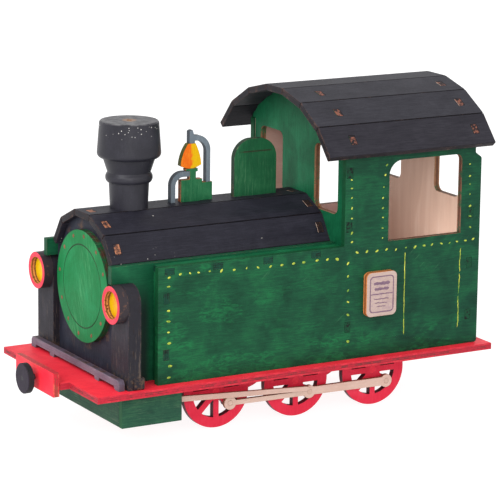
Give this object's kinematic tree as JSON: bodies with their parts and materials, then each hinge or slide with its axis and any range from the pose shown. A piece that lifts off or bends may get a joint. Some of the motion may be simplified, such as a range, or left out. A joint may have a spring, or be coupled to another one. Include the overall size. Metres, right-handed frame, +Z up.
{
  "type": "toy train locomotive",
  "caption": "Hand-painted plywood toy tank locomotive with a boiler of planks, a chimney, a cab with an arched plank roof, coupled spoked wheels and a front buffer.",
  "frame": {"origin": "centre of the footprint, on the table under the wheels", "axes": "+Z up, -X towards the front of the engine, -Y towards its left side"},
  "size_m": [0.362, 0.1664, 0.2468],
  "materials": {
    "green_paint": "hand-painted plywood, satin, brush strokes",
    "black_paint": "hand-painted plywood, satin",
    "roof_paint": "hand-painted plywood, matte",
    "red_paint": "hand-painted plywood, satin",
    "grey_paint": "hand-painted plywood, satin",
    "rail_paint": "hand-painted plywood, satin",
    "yellow_paint": "hand-painted plywood, satin",
    "bare_plywood": "unpainted plywood, matte",
    "dowel_wood": "unpainted turned wood, matte"
  },
  "bodies": {
    "chassis": {"cylinder_front": "green_paint", "cylinder_rear": "green_paint", "cylinder_sides": "green_paint", "side_panel_left": "green_paint", "side_panel_right": "green_paint", "tank_tops": "green_paint", "tank_bulkheads": "green_paint", "boiler_side_left": "green_paint", "boiler_side_right": "green_paint", "smokebox_door": "green_paint", "valve_base": "green_paint", "dome": "green_paint", "cab_front": "green_paint", "cab_rear": "green_paint", "buffer": "black_paint", "smokebox_front": "black_paint", "lamp_posts": "black_paint", "chimney": "black_paint", "boiler_plank_1": "black_paint", "boiler_plank_2": "black_paint", "boiler_plank_3": "black_paint", "boiler_plank_4": "black_paint", "boiler_plank_5": "black_paint", "roof_plank_1": "roof_paint", "roof_plank_2": "roof_paint", "roof_plank_3": "roof_paint", "roof_plank_4": "roof_paint", "roof_plank_5": "roof_paint", "roof_plank_6": "roof_paint", "roof_plank_7": "roof_paint", "footplate": "red_paint", "buffer_beam": "red_paint", "lamp_rings": "red_paint", "steam_pipe_front": "grey_paint", "steam_pipe_rear": "grey_paint", "front_rail": "rail_paint", "valve_bell": "yellow_paint", "lamp_lenses": "yellow_paint", "boiler_former_rear": "bare_plywood", "frame_left": "bare_plywood", "frame_right": "bare_plywood", "slide_bars": "bare_plywood", "name_plates": "bare_plywood", "buffer_dowel": "dowel_wood", "chimney_dowel": "dowel_wood"},
    "axle_front": {"axle_front": "dowel_wood", "wheel_front_left": "red_paint", "wheel_front_right": "red_paint", "crank_pins_front": "dowel_wood"},
    "axle_middle": {"axle_middle": "dowel_wood", "wheel_middle_left": "red_paint", "wheel_middle_right": "red_paint", "crank_pins_middle": "dowel_wood"},
    "axle_rear": {"axle_rear": "dowel_wood", "wheel_rear_left": "red_paint", "wheel_rear_right": "red_paint", "crank_pins_rear": "dowel_wood"},
    "coupling_rod_left": {"coupling_rod_left": "bare_plywood"},
    "coupling_rod_right": {"coupling_rod_right": "bare_plywood"}
  },
  "joints": [
    {"name": "axle_front_spin", "type": "hinge", "parent": "chassis", "child": "axle_front", "pos_m": [-0.0424, 0, 0.0275], "axis": [0, 1, 0], "continuous": true},
    {"name": "axle_middle_spin", "type": "hinge", "parent": "chassis", "child": "axle_middle", "pos_m": [0.0266, 0, 0.0275], "axis": [0, 1, 0], "continuous": true},
    {"name": "axle_rear_spin", "type": "hinge", "parent": "chassis", "child": "axle_rear", "pos_m": [0.0956, 0, 0.0275], "axis": [0, 1, 0], "continuous": true},
    {"name": "coupling_rod_left_turn", "type": "hinge", "parent": "axle_middle", "child": "coupling_rod_left", "pos_m": [0.0366, -0.0465, 0.0183], "axis": [0, 1, 0], "continuous": true},
    {"name": "coupling_rod_right_turn", "type": "hinge", "parent": "axle_middle", "child": "coupling_rod_right", "pos_m": [0.0366, 0.0465, 0.0183], "axis": [0, 1, 0], "continuous": true}
  ],
  "couplings": [
    {"joint": "axle_front_spin", "follows": "axle_middle_spin", "ratio": 1},
    {"joint": "axle_rear_spin", "follows": "axle_middle_spin", "ratio": 1},
    {"joint": "coupling_rod_left_turn", "follows": "axle_middle_spin", "ratio": -1},
    {"joint": "coupling_rod_right_turn", "follows": "axle_middle_spin", "ratio": -1}
  ]
}
